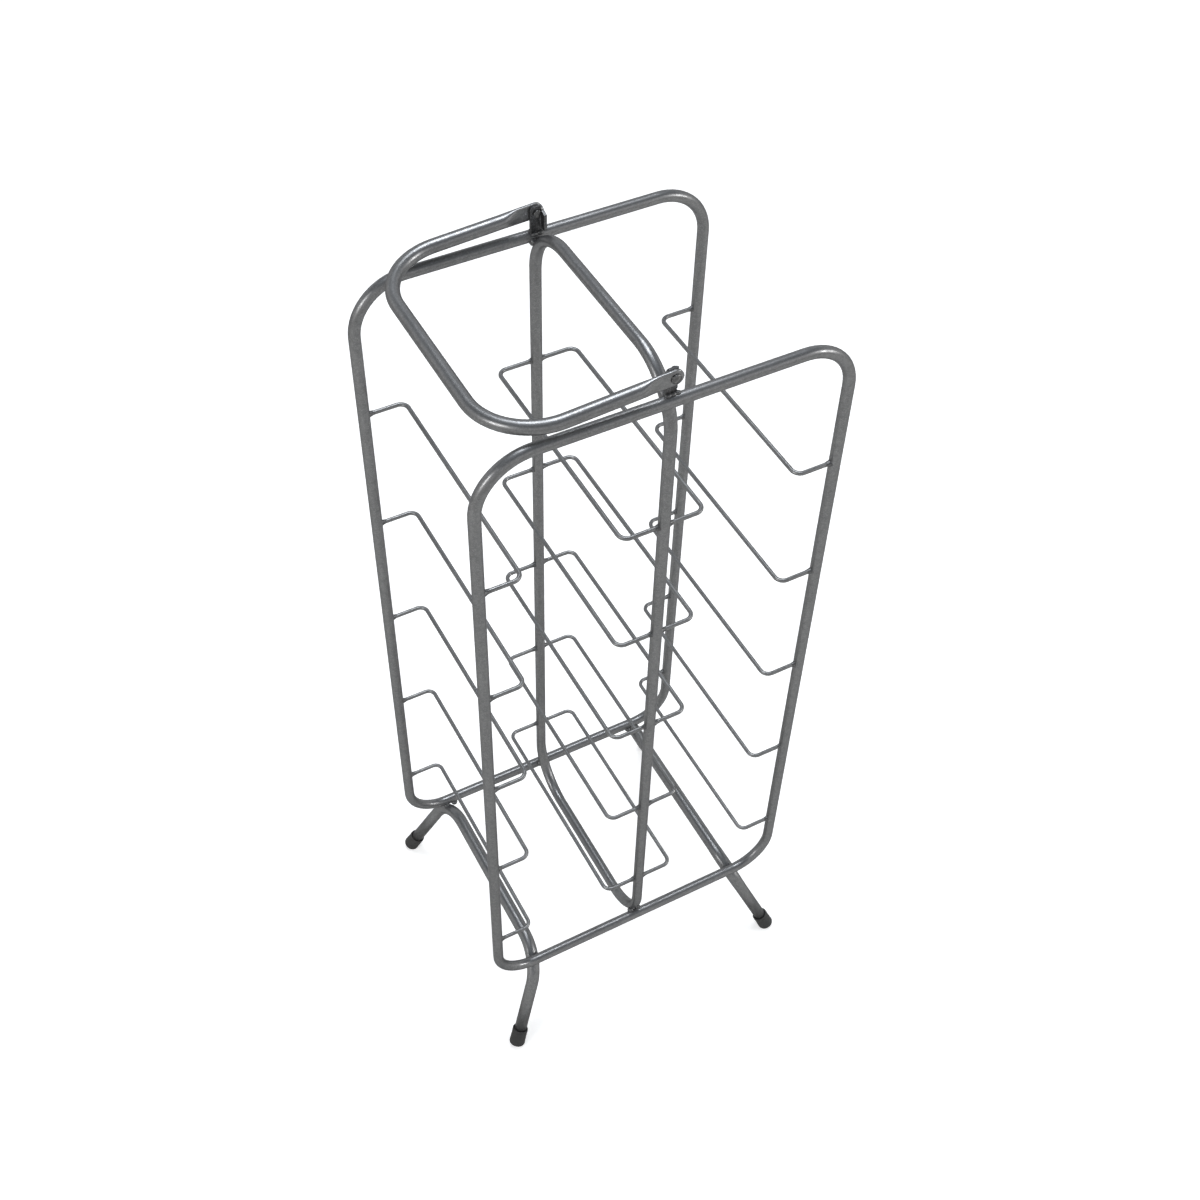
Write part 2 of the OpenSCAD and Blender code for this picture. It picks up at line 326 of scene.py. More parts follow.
@dataclass(frozen=True)
class Lacquer:
    """Satin metallic lacquer on steel, as sprayed on the tubes and wires."""

    name: str
    tone: Colour = (0.30, 0.302, 0.308, 1.0)
    dark_share: float = 0.86
    deep_share: float = 0.55
    light_tone: Colour = (0.62, 0.63, 0.66, 1.0)
    worn_tone: Colour = (0.36, 0.355, 0.35, 1.0)
    dust_tone: Colour = (0.30, 0.30, 0.29, 1.0)
    metallic: float = 0.82
    roughness: float = 0.32
    coat: float = 0.06
    # Painted shade: a dark edge tint that dims the rims as dark surroundings would.
    rim_shade_tint: Colour = (0.42, 0.42, 0.43, 1.0)
    peel_scale: float = 360.0
    peel_depth: float = 0.035
    flake_scale: float = 1900.0
    flake_share: float = 0.34
    flake_light: float = 0.22
    grain: float = 0.5
    wear: float = 0.25
    dust: float = 0.08

    def build(self, effects: Effects) -> Finish:
        """Build the material.

        Args:
            effects: the shared node groups.

        Returns:
            The finished material.
        """
        material, tree, shader = new_material(self.name)
        group = "ShaderNodeGroup"
        mottle = tree.add(group, node_tree=effects.mottle)
        flake = tree.add(group, {"Share": self.flake_share, "Scale": self.flake_scale},
                         node_tree=effects.flake)
        wear = tree.add(group, {"Amount": self.wear}, node_tree=effects.wear)
        dust = tree.add(group, {"Amount": self.dust}, node_tree=effects.dust)
        peel = tree.add(group, {"Scale": self.peel_scale}, node_tree=effects.peel)

        dark = tuple(c * self.dark_share for c in self.tone[:3]) + (1.0,)
        deep = tuple(c * self.deep_share for c in self.tone[:3]) + (1.0,)
        base = tree.mix_colour(mottle.outputs["Broad"], dark, self.tone)
        base = tree.mix_colour(
            tree.math("MULTIPLY", mottle.outputs["Fine"], self.grain), base, deep)
        speck = tree.math("MULTIPLY", flake.outputs["Mask"],
                          tree.math("MULTIPLY", flake.outputs["Shade"], self.flake_light))
        base = tree.mix_colour(speck, base, self.light_tone)
        base = tree.mix_colour(wear.outputs["Mask"], base, self.worn_tone)
        base = tree.mix_colour(dust.outputs["Mask"], base, self.dust_tone)
        tree.feed(shader.inputs["Base Color"], base)

        rough = tree.ramp(mottle.outputs["Fine"], 0.0, 1.0,
                          self.roughness - 0.05, self.roughness + 0.07)
        rough = tree.math("ADD", rough, tree.math("MULTIPLY", dust.outputs["Mask"], 0.3))
        tree.feed(shader.inputs["Roughness"], rough)
        metal = tree.math("SUBTRACT", self.metallic,
                          tree.math("MULTIPLY", dust.outputs["Mask"], 0.5))
        tree.feed(shader.inputs["Metallic"], metal)
        # The dark edge tint is painted shade on the rims, standing in for dark surroundings.
        shader.inputs["Specular Tint"].default_value = self.rim_shade_tint
        shader.inputs["Coat Weight"].default_value = self.coat
        shader.inputs["Coat Roughness"].default_value = 0.22
        bump = tree.add("ShaderNodeBump", {"Strength": self.peel_depth, "Distance": 0.6 * MM,
                                           "Height": peel.outputs["Height"]})
        tree.feed(shader.inputs["Normal"], bump.outputs[0])
        return material


@dataclass(frozen=True)
class Rubber:
    """Moulded rubber of the foot caps."""

    name: str
    tone: Colour = (0.028, 0.028, 0.029, 1.0)
    scuffed: Colour = (0.075, 0.074, 0.072, 1.0)
    dust_tone: Colour = (0.22, 0.215, 0.21, 1.0)
    roughness: float = 0.62
    grain_scale: float = 900.0
    pebble_scale: float = 1500.0
    wear: float = 0.5
    dust: float = 0.25

    def build(self, effects: Effects) -> Finish:
        """Build the material.

        Args:
            effects: the shared node groups.

        Returns:
            The finished material.
        """
        material, tree, shader = new_material(self.name)
        group = "ShaderNodeGroup"
        mottle = tree.add(group, {"Fine scale": self.grain_scale}, node_tree=effects.mottle)
        wear = tree.add(group, {"Amount": self.wear}, node_tree=effects.wear)
        dust = tree.add(group, {"Amount": self.dust}, node_tree=effects.dust)
        peel = tree.add(group, {"Scale": self.pebble_scale}, node_tree=effects.peel)
        base = tree.mix_colour(
            tree.math("MULTIPLY", mottle.outputs["Broad"], 0.35), self.tone, self.scuffed)
        base = tree.mix_colour(wear.outputs["Mask"], base, self.scuffed)
        base = tree.mix_colour(dust.outputs["Mask"], base, self.dust_tone)
        tree.feed(shader.inputs["Base Color"], base)
        tree.feed(shader.inputs["Roughness"], tree.ramp(
            mottle.outputs["Fine"], 0.0, 1.0, self.roughness - 0.08, self.roughness + 0.1))
        bump = tree.add("ShaderNodeBump", {"Strength": 0.18, "Distance": 0.3 * MM,
                                           "Height": peel.outputs["Height"]})
        tree.feed(shader.inputs["Normal"], bump.outputs[0])
        return material


@dataclass(frozen=True)
class StudioFloor:
    """A plain pale floor."""

    name: str = "studio_floor"
    tone: Colour = (0.95, 0.95, 0.95, 1.0)
    bounce: Colour = (0.88, 0.862, 0.825, 1.0)
    glow: float = 0.56

    def build(self) -> Finish:
        """Build the material.

        Returns:
            The finished material.
        """
        material, tree, shader = new_material(self.name)
        spot = tree.spot()
        cloud = tree.ramp(tree.noise(spot, 3.0, 2.0), 0.3, 0.7, 0.0, 1.0)
        soft = tuple(c * 0.995 for c in self.tone[:3]) + (1.0,)
        plain = tree.mix_colour(cloud, soft, self.tone)
        seen = tree.add("ShaderNodeLightPath").outputs["Is Camera Ray"]
        tree.feed(shader.inputs["Base Color"], tree.mix_colour(seen, self.bounce, plain))
        shader.inputs["Emission Color"].default_value = (1.0, 1.0, 1.0, 1.0)
        tree.feed(shader.inputs["Emission Strength"], tree.math("MULTIPLY", seen, self.glow))
        shader.inputs["Roughness"].default_value = 0.9
        shader.inputs["Specular IOR Level"].default_value = 0.1
        return material


# ----------------------------------------------------------------- mesh helpers


def mesh_object(name: str, mesh: Mesh,
                material: Finish) -> Piece:
    """Turn a mesh into a smooth-shaded object at the origin.

    Args:
        name: the piece's name.
        mesh: the mesh, which is freed.
        material: the piece's finish.

    Returns:
        The new object.
    """
    bmesh.ops.remove_doubles(mesh, verts=mesh.verts, dist=1e-6)
    bmesh.ops.recalc_face_normals(mesh, faces=mesh.faces)
    data = bpy.data.meshes.new(name)
    mesh.to_mesh(data)
    mesh.free()
    data.polygons.foreach_set("use_smooth", [True] * len(data.polygons))
    data.materials.append(material)
    piece = bpy.data.objects.new(name, data)
    bpy.context.collection.objects.link(piece)
    return piece


def skin_rings(mesh: Mesh, rings: list[list[Vector]]) -> None:
    """Join rings of points into a closed skin with a face over each end.

    Args:
        mesh: the mesh that takes the skin.
        rings: rings with equal numbers of points.
    """
    rows = [[mesh.verts.new(p) for p in ring] for ring in rings]
    count = len(rows[0])
    for low, high in zip(rows, rows[1:]):
        for i in range(count):
            j = (i + 1) % count
            mesh.faces.new((low[i], low[j], high[j], high[i]))
    mesh.faces.new(list(reversed(rows[0])))
    mesh.faces.new(rows[-1])


def turned(mesh: Mesh, profile: list[tuple[float, float]], place: Matrix,
           sides: int = 40) -> None:
    """Turn a profile round the place's Z axis.

    Args:
        mesh: the mesh that takes the shape.
        profile: pairs of distance along the axis and radius.
        place: where the axis stands.
        sides: points round the shape.
    """
    rings = []
    for along, radius in profile:
        ring = []
        for i in range(sides):
            turn = 2.0 * math.pi * i / sides
            ring.append(place @ Vector((radius * math.cos(turn), radius * math.sin(turn), along)))
        rings.append(ring)
    skin_rings(mesh, rings)


def rounded_step(along: float, radius: float, turn_from: float, turn_to: float, size: float,
                 count: int = 6) -> list[tuple[float, float]]:
    """List the profile points of one rounded edge.

    Args:
        along: distance along the axis to the rounding's centre.
        radius: radius of the rounding's centre.
        turn_from: angle of its first point, from the axis.
        turn_to: angle of its last point.
        size: the rounding's own radius.
        count: steps.

    Returns:
        Pairs of distance along the axis and radius.
    """
    points = []
    for i in range(count + 1):
        turn = math.radians(turn_from + (turn_to - turn_from) * i / count)
        points.append((along + size * math.cos(turn), radius + size * math.sin(turn)))
    return points


@dataclass
class Station:
    """One ring of a bent tube: where it stands and how far it is squeezed."""

    centre: Vector
    along: Vector
    squeeze: float = 0.0


@dataclass
class BentTube:
    """A round tube bent in one plane, a little oval where it is bent."""

    radius: float
    plane: Vector
    ovality: float = 0.09
    sides: int = 40

    def ring(self, station: Station) -> list[Vector]:
        """Make one ring.

        Args:
            station: where it stands.

        Returns:
            Its points.
        """
        side = station.along.cross(self.plane).normalized()
        wide = self.radius * (1.0 + self.ovality * station.squeeze)
        deep = self.radius * (1.0 - self.ovality * station.squeeze)
        points = []
        for i in range(self.sides):
            turn = 2.0 * math.pi * i / self.sides
            points.append(station.centre + self.plane * (wide * math.cos(turn))
                          + side * (deep * math.sin(turn)))
        return points

    @staticmethod
    def bend(centre: Vector, out: Vector, along: Vector, bend_r: float, turn: float,
             steps: int) -> list[Station]:
        """List the stations of one bend.

        Args:
            centre: the bend's own centre.
            out: from that centre to the bend's start.
            along: the tube's direction at the start.
            bend_r: radius of the tube's centre line.
            turn: angle of the bend.
            steps: rings along it.

        Returns:
            The stations, both ends included.
        """
        stations = []
        for step in range(steps + 1):
            a = turn * step / steps
            squeeze = math.sin(math.pi * step / steps) ** 0.7 if 0 < step < steps else 0.0
            stations.append(Station(
                centre + (out * math.cos(a) + along * math.sin(a)) * bend_r,
                along * math.cos(a) - out * math.sin(a), squeeze))
        return stations

    def skin(self, mesh: Mesh, stations: list[Station], closed: bool) -> None:
        """Skin the tube.

        Args:
            mesh: the mesh that takes it.
            stations: its rings in order.
            closed: whether the last ring joins the first.
        """
        rings = [self.ring(station) for station in stations]
        if not closed:
            skin_rings(mesh, rings)
            return
        rows = [[mesh.verts.new(p) for p in ring] for ring in rings]
        for low, high in zip(rows, rows[1:] + rows[:1]):
            for i in range(self.sides):
                j = (i + 1) % self.sides
                mesh.faces.new((low[i], low[j], high[j], high[i]))


def axis_place(origin: Vector, axis: Vector) -> Matrix:
    """Place a turned shape.

    Args:
        origin: where its zero stands.
        axis: the way that its Z axis points.

    Returns:
        The matrix.
    """
    turn = axis.normalized().to_track_quat("Z", "Y").to_matrix().to_4x4()
    return Matrix.Translation(origin) @ turn


# --------------------------------------------------------------------- measures


@dataclass
class RackMeasures:
    """The rack's main positions, read from the CAD nodes."""

    centre_bend: float = 0.040
    tube_r: float = field(init=False)
    wire_r: float = field(init=False)
    post_x: float = field(init=False)
    loop_y: float = field(init=False)
    bottom_z: float = field(init=False)
    top_z: float = field(init=False)
    overrun: float = field(init=False)
    levels: list[float] = field(init=False)
    pivot: Vector = field(init=False)

    def __post_init__(self) -> None:
        """Read the CAD boxes."""
        low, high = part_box("back_frame")
        self.tube_r = (high.y - low.y) / 2.0
        self.post_x = high.x - self.tube_r
        self.loop_y = (high.y + low.y) / 2.0
        self.bottom_z = low.z + self.tube_r
        self.top_z = high.z - self.tube_r
        self.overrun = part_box("centre_frame")[1].z - self.tube_r - self.top_z
        self.levels = []
        for level in range(1, 6):
            wire_low, wire_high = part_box(f"cradle_left_outer_{level}")
            self.levels.append((wire_low.z + wire_high.z) / 2.0)
            self.wire_r = (wire_high.z - wire_low.z) / 2.0
        rivet_low, rivet_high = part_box("rivet_back")
        middle = (rivet_low + rivet_high) / 2.0
        self.pivot = Vector((middle.x, 0.0, middle.z))


@dataclass
class FootLines:
    """The centre lines of the two foot rails, whose legs splay to each side."""

    rack: RackMeasures
    nodes: dict[str, Piece]
    rail_x: float = 90.0 * MM
    radius: float = 5.0 * MM
    bend_r: float = 35.0 * MM
    lead: float = 27.0 * MM
    lean: float = math.radians(22.0)
    turn: float = math.radians(75.5)
    cap_length: float = 16.0 * MM
    cap_floor: float = 4.0 * MM

    def way(self, side: str) -> float:
        """Return -1 for the left and 1 for the right."""
        return -1.0 if side == "left" else 1.0

    def fall(self, side: str) -> Vector:
        """Return the way that the bends turn to: down, and out to the side."""
        return Vector((self.way(side) * math.sin(self.lean), 0.0, -math.cos(self.lean)))

    def down(self, end: str, side: str) -> Vector:
        """Return the direction of one leg."""
        y_way = -1.0 if end == "front" else 1.0
        return self.fall(side) * math.sin(self.turn) + Vector(
            (0.0, y_way * math.cos(self.turn), 0.0))

    def mouth(self, end: str, side: str) -> Vector:
        """Find the middle of a cap's open end.

        Args:
            end: front or back.
            side: left or right.

        Returns:
            The point.
        """
        down = self.down(end, side)
        points = [v.co for v in self.nodes[f"foot_cap_{end}_{side}"].data.vertices]
        first = min(p.dot(down) for p in points)
        rim = {tuple(round(c, 6) for c in p) for p in points if p.dot(down) < first + 0.02 * MM}
        return sum((Vector(p) for p in rim), Vector()) / len(rim)

    def run_z(self) -> float:
        """Return the height of the straight runs."""
        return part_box("foot_rail_left")[1].z - self.radius

    def half(self, end: str, side: str) -> list[Station]:
        """List the stations from the end of the straight run down one leg.

        Args:
            end: front or back.
            side: left or right.

        Returns:
            The stations.
        """
        y_way = -1.0 if end == "front" else 1.0
        fall = self.fall(side)
        start = Vector((self.way(side) * self.rail_x, y_way * (self.rack.loop_y - self.lead),
                        self.run_z()))
        stations = BentTube.bend(start + fall * self.bend_r, -fall, Vector((0.0, y_way, 0.0)),
                                 self.bend_r, self.turn, 18)
        foot = self.mouth(end, side) + self.down(end, side) * (self.cap_length - self.cap_floor)
        stations.append(Station(foot, self.down(end, side)))
        return stations

    def stations(self, side: str) -> list[Station]:
        """List a whole foot rail from its front leg to its back leg.

        Args:
            side: left or right.

        Returns:
            The stations.
        """
        front = [Station(s.centre, -s.along, s.squeeze) for s in self.half("front", side)]
        return front[::-1] + self.half("back", side)

    def contact(self) -> tuple[float, float]:
        """Find where a foot rail touches the bottom rail above it.

        Returns:
            Distance from the middle plane and height.
        """
        rail_y, rail_z = self.rack.loop_y, self.rack.bottom_z
        near = min(self.half("back", "right"), key=lambda s: math.hypot(
            s.centre.y - rail_y, s.centre.z - rail_z))
        share = self.rack.tube_r / (self.rack.tube_r + self.radius)
        return (rail_y + (near.centre.y - rail_y) * share,
                rail_z + (near.centre.z - rail_z) * share)


# ------------------------------------------------------------- geometry nodes


class GrowTree:
    """A Geometry Nodes tree with named inputs, and its use on an object."""

    def __init__(self, name: str, sizes: dict[str, float]) -> None:
        """Start the tree.

        Args:
            name: the tree's name.
            sizes: named sizes and their values.
        """
        group = bpy.data.node_groups.new(name, "GeometryNodeTree")
        face = group.interface
        face.new_socket("Geometry", in_out="INPUT", socket_type="NodeSocketGeometry")
        for label in sizes:
            face.new_socket(label, in_out="INPUT", socket_type="NodeSocketFloat")
        face.new_socket("Seed", in_out="INPUT", socket_type="NodeSocketFloat")
        face.new_socket("Finish", in_out="INPUT", socket_type="NodeSocketMaterial")
        face.new_socket("Geometry", in_out="OUTPUT", socket_type="NodeSocketGeometry")
        self.sizes = sizes
        self.maker = Tree(group)
        self.given = self.maker.add("NodeGroupInput")
        self.result = self.maker.add("NodeGroupOutput")

    def size(self, label: str) -> Socket:
        """Return one named input inside the tree."""
        return self.given.outputs[label]

    def finish_with(self, geometry: Socket, ripple: object) -> None:
        """Realize, roughen, smooth and dress what the tree has grown.

        Args:
            geometry: the instances.
            ripple: height of the surface's unevenness.
        """
        maker = self.maker
        real = maker.add("GeometryNodeRealizeInstances", {0: geometry})
        noise = maker.add("ShaderNodeTexNoise",
                          {"Scale": RIPPLE_SCALE, "Detail": 2.0, "W": self.size("Seed")},
                          noise_dimensions="4D")
        swing = maker.math("MULTIPLY", maker.math("SUBTRACT", noise.outputs[0], 0.5), ripple)
        normal = maker.add("GeometryNodeInputNormal").outputs[0]
        along = maker.add("ShaderNodeVectorMath", {0: normal, "Scale": swing}, operation="SCALE")
        moved = maker.add("GeometryNodeSetPosition",
                          {"Geometry": real.outputs[0], "Offset": along.outputs[0]})
        smooth = maker.add("GeometryNodeSetShadeSmooth", {"Geometry": moved.outputs[0]})
        dressed = maker.add("GeometryNodeSetMaterial",
                            {"Geometry": smooth.outputs[0], "Material": self.size("Finish")})
        maker.feed(self.result.inputs[0], dressed.outputs[0])

    def attribute(self, name: str) -> Socket:
        """Read a named vector of each point.

        Args:
            name: the attribute.

        Returns:
            The vector output.
        """
        return self.maker.add("GeometryNodeInputNamedAttribute", {"Name": name},
                              data_type="FLOAT_VECTOR").outputs["Attribute"]

    def spread(self, shape: Socket, axis: str) -> None:
        """Set a shape on every point and finish the tree.

        Args:
            shape: what is set there.
            axis: the shape's axis that follows the point's heading.
        """
        maker = self.maker
        turn = maker.add("FunctionNodeAlignRotationToVector",
                         {"Vector": self.attribute("heading")}, axis=axis)
        spread = maker.add("GeometryNodeInstanceOnPoints", {
            "Points": self.size("Geometry"), "Instance": shape, "Rotation": turn.outputs[0],
            "Scale": self.attribute("stretch")})
        self.finish_with(spread.outputs[0], self.size("Ripple"))

    def grow(self, name: str, spots: list[Vector], vectors: dict[str, list[Vector]],
             material: Finish, seed: float) -> Piece:
        """Run the tree over a set of points and keep the result as a plain mesh.

        Args:
            name: the piece's name.
            spots: the points.
            vectors: named vectors, one for each point.
            material: the finish.
            seed: moves the surface's unevenness.

        Returns:
            The piece.
        """
        data = bpy.data.meshes.new(name + "_points")
        data.from_pydata([tuple(p) for p in spots], [], [])
        for label, values in vectors.items():
            layer = data.attributes.new(label, "FLOAT_VECTOR", "POINT")
            layer.data.foreach_set("vector", [c for v in values for c in v])
        carrier = bpy.data.objects.new(name + "_carrier", data)
        bpy.context.collection.objects.link(carrier)
        modifier = carrier.modifiers.new("Grow", "NODES")
        modifier.node_group = self.maker.tree
        for item in self.maker.tree.interface.items_tree:
            if item.in_out != "INPUT":
                continue
            if item.name in self.sizes:
                modifier[item.identifier] = float(self.sizes[item.name])
            elif item.name == "Seed":
                modifier[item.identifier] = float(seed)
            elif item.name == "Finish":
                modifier[item.identifier] = material
        depsgraph = bpy.context.evaluated_depsgraph_get()
        grown = bpy.data.meshes.new_from_object(carrier.evaluated_get(depsgraph))
        carrier.modifiers.remove(modifier)
        bpy.data.objects.remove(carrier)
        grown.name = name
        piece = bpy.data.objects.new(name, grown)
        bpy.context.collection.objects.link(piece)
        return piece


def skin_tree() -> bpy.types.NodeTree:
    """Build the tree that joins a CAD node's triangles and shades its curves smooth.

    Returns:
        The tree, for use as a modifier.
    """
    group = bpy.data.node_groups.new("Smooth skin", "GeometryNodeTree")
    face = group.interface
    face.new_socket("Geometry", in_out="INPUT", socket_type="NodeSocketGeometry")
    face.new_socket("Merge distance", in_out="INPUT", socket_type="NodeSocketFloat")
    face.new_socket("Sharp angle", in_out="INPUT", socket_type="NodeSocketFloat")
    face.new_socket("Geometry", in_out="OUTPUT", socket_type="NodeSocketGeometry")
    maker = Tree(group)
    given = maker.add("NodeGroupInput")
    result = maker.add("NodeGroupOutput")
    merged = maker.add("GeometryNodeMergeByDistance", {
        "Geometry": given.outputs["Geometry"], "Distance": given.outputs["Merge distance"]})
    smooth = maker.add("GeometryNodeSetShadeSmooth", {"Geometry": merged.outputs[0]},
                       domain="FACE")
    angle = maker.add("GeometryNodeInputMeshEdgeAngle")
    steep = maker.math("GREATER_THAN", angle.outputs[0], given.outputs["Sharp angle"])
    sharp = maker.add("GeometryNodeSetShadeSmooth", {
        "Geometry": smooth.outputs[0], "Selection": steep, "Shade Smooth": False}, domain="EDGE")
    maker.feed(result.inputs[0], sharp.outputs[0])
    return group


# ------------------------------------------------------------------ assemblies


@dataclass
class TubeWork:
    """The front and back loops and the wire cradles, kept from the CAD model."""

    tube: Finish
    wire: Finish
    merge_distance: float = 2e-6
    sharp_angle: float = math.radians(38.0)

    def dress(self, nodes: dict[str, Piece]) -> None:
        """Give each kept node its smooth skin and its finish.

        Args:
            nodes: the CAD objects by name.
        """
        skin = skin_tree()
        for name, node in nodes.items():
            if name.startswith("cradle_"):
                self.cover(node, self.wire, skin)
            elif name in ("front_frame", "back_frame"):
                self.cover(node, self.tube, skin)

    def cover(self, node: Piece, material: Finish,
              skin: bpy.types.NodeTree) -> None:
        """Dress one node.

        Args:
            node: the CAD object.
            material: its finish.
            skin: the smoothing tree.
        """
        node.data.materials.clear()
        node.data.materials.append(material)
        modifier = node.modifiers.new("Skin", "NODES")
        modifier.node_group = skin
        for item in skin.interface.items_tree:
            if item.name == "Merge distance":
                modifier[item.identifier] = self.merge_distance
            elif item.name == "Sharp angle":
                modifier[item.identifier] = self.sharp_angle
        LOG.info("%s: kept from the CAD model", node.name)


@dataclass
class BentWork:
    """The centre loop and the foot rails, with the flattening of their bends."""

    rack: RackMeasures
    feet: FootLines
    finish: Finish

    def centre_loop(self) -> Piece:
        """Make the loop between the two columns of bottles."""
        rack = self.rack
        bend, y = rack.centre_bend, rack.loop_y
        low = rack.bottom_z - rack.overrun
        high = rack.top_z + rack.overrun
        up, across = Vector((0.0, 0.0, 1.0)), Vector((0.0, 1.0, 0.0))
        corners_in_order = (
            (Vector((0.0, bend - y, high - bend)), -across, up),
            (Vector((0.0, y - bend, high - bend)), up, across),
            (Vector((0.0, y - bend, low + bend)), across, -up),
            (Vector((0.0, bend - y, low + bend)), -up, -across),
        )
        tube = BentTube(rack.tube_r, Vector((1.0, 0.0, 0.0)))
        stations = []
        for centre, out, along in corners_in_order:
            stations += tube.bend(centre, out, along, bend, math.pi / 2.0, 20)
        mesh = bmesh.new()
        tube.skin(mesh, stations, closed=True)
        piece = mesh_object("centre_loop", mesh, self.finish)
        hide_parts("centre_frame")
        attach(piece, Body.RACK.value)
        return piece

    def foot_rail(self, side: str) -> Piece:
        """Make one foot rail with its two legs.

        Args:
            side: left or right.

        Returns:
            The piece.
        """
        plane = Vector((0.0, 1.0, 0.0)).cross(self.feet.fall(side)).normalized()
        tube = BentTube(self.feet.radius, plane, 0.07)
        mesh = bmesh.new()
        tube.skin(mesh, self.feet.stations(side), closed=False)
        piece = mesh_object(f"foot_bar_{side}", mesh, self.finish)
        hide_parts(f"foot_rail_{side}")
        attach(piece, Body.RACK.value)
        return piece

    def build(self) -> list[Piece]:
        """Make the three bent pieces."""
        return [self.centre_loop(), self.foot_rail("left"), self.foot_rail("right")]


@dataclass
class WeldBeads:
    """The collars where wires meet posts, and the beads where tubes cross."""

    rack: RackMeasures
    feet: FootLines
    wire_finish: Finish
    tube_finish: Finish
    collar_length: float = 3.4 * MM
    collar_flare: float = 1.1 * MM
    collar_root: float = 1.4 * MM
    ripple: float = 0.45 * MM
    seed: float = 7.0

    def collar_tree(self) -> GrowTree:
        """Build the tree of the collars.

        Returns:
            The tree.
        """
        grow = GrowTree("Weld collars", {
            "Wire radius": self.rack.wire_r, "Length": self.collar_length,
            "Flare": self.collar_flare, "Root": self.collar_root, "Ripple": self.ripple})
        maker = grow.maker
        start = maker.add("ShaderNodeCombineXYZ",
                          {2: maker.math("MULTIPLY", grow.size("Root"), -1.0)})
        end = maker.add("ShaderNodeCombineXYZ", {2: grow.size("Length")})
        line = maker.add("GeometryNodeCurvePrimitiveLine",
                         {"Start": start.outputs[0], "End": end.outputs[0]})
        even = maker.add("GeometryNodeResampleCurve", {"Curve": line.outputs[0], "Count": 10})
        factor = maker.add("GeometryNodeSplineParameter").outputs["Factor"]
        left = maker.math("SUBTRACT", 1.0, factor)
        swell = maker.math("POWER", left, 1.6)
        flare = maker.math("MULTIPLY_ADD", swell, grow.size("Flare"), grow.size("Wire radius"))
        sized = maker.add("GeometryNodeSetCurveRadius", {"Curve": even.outputs[0], "Radius": flare})
        circle = maker.add("GeometryNodeCurvePrimitiveCircle", {"Resolution": 18, "Radius": 1.0})
        tube = maker.add("GeometryNodeCurveToMesh", {
            "Curve": sized.outputs[0], "Profile Curve": circle.outputs[0], "Fill Caps": True})
        if "Scale" in tube.inputs:
            maker.feed(tube.inputs["Scale"], flare)
        grow.spread(tube.outputs[0], "Z")
        return grow

    def bead_tree(self) -> GrowTree:
        """Build the tree of the beads between tubes.

        Returns:
            The tree.
        """
        grow = GrowTree("Weld beads", {"Ripple": self.ripple})
        ball = grow.maker.add("GeometryNodeMeshIcoSphere", {"Radius": 1.0, "Subdivisions": 4})
        grow.spread(ball.outputs[0], "X")
        return grow

    def wire_joints(self) -> tuple[list[Vector], dict[str, list[Vector]]]:
        """List where the wires meet the posts.

        Returns:
            The points and their vectors.
        """
        rack = self.rack
        spots, headings, stretches = [], [], []
        posts = ((-rack.post_x, 1.0), (0.0, -1.0), (0.0, 1.0), (rack.post_x, -1.0))
        for level, height in enumerate(rack.levels):
            for end in (-1.0, 1.0):
                for index, (post, way) in enumerate(posts):
                    spots.append(Vector((post + way * rack.tube_r, end * rack.loop_y, height)))
                    headings.append(Vector((way, 0.0, 0.0)))
                    wobble = 0.12 * math.sin(5.1 * level + 2.3 * index + end)
                    stretches.append(Vector((1.0 - wobble, 1.0 + wobble, 1.0 + 1.5 * wobble)))
        return spots, {"heading": headings, "stretch": stretches}

    def tube_joints(self) -> tuple[list[Vector], dict[str, list[Vector]]]:
        """List where the tubes and brackets are welded to each other.

        Returns:
            The points and their vectors.
        """
        rack = self.rack
        spots, headings, stretches = [], [], []

        def add(spot: tuple[float, float, float], size: tuple[float, float, float]) -> None:
            """Add one bead."""
            spots.append(Vector(spot))
            headings.append(Vector((1.0, 0.0, 0.0)))
            stretches.append(Vector(size) * MM)

        bend = rack.centre_bend
        rise = bend - rack.overrun
        reach = math.hypot(bend, rise)
        share = (bend + rack.tube_r) / reach
        inset = bend - bend * share
        drop = rise - rise * share
        foot_y, foot_z = self.feet.contact()
        for end in (-1.0, 1.0):
            y = end * (rack.loop_y - inset)
            for z in (rack.top_z - drop, rack.bottom_z + drop):
                for side in (-1.0, 1.0):
                    add((side * 3.1 * MM, y, z), (2.6, 2.9, 2.9))
            for side in (-1.0, 1.0):
                for way in (-1.0, 1.0):
                    add((side * self.feet.rail_x + way * 3.6 * MM, end * foot_y, foot_z),
                        (2.8, 3.2, 2.2))
            for x in (-3.0, 0.2, 3.2):
                add((x * MM, end * (rack.loop_y - 0.6 * MM), rack.top_z + rack.tube_r + 0.3 * MM),
                    (2.2, 1.5, 1.3))
            for x in (-2.0, 2.4):
                add((x * MM, end * (rack.loop_y - 3.6 * MM), rack.top_z + rack.tube_r - 1.0 * MM),
                    (2.4, 1.4, 1.5))
        return spots, {"heading": headings, "stretch": stretches}

    def build(self) -> list[Piece]:
        """Make the collars and the beads."""
        spots, vectors = self.wire_joints()
        collars = self.collar_tree().grow(
            "weld_collars", spots, vectors, self.wire_finish, self.seed)
        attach(collars, Body.RACK.value)
        spots, vectors = self.tube_joints()
        beads = self.bead_tree().grow("weld_beads", spots, vectors, self.tube_finish, self.seed)
        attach(beads, Body.RACK.value)
        return [collars, beads]


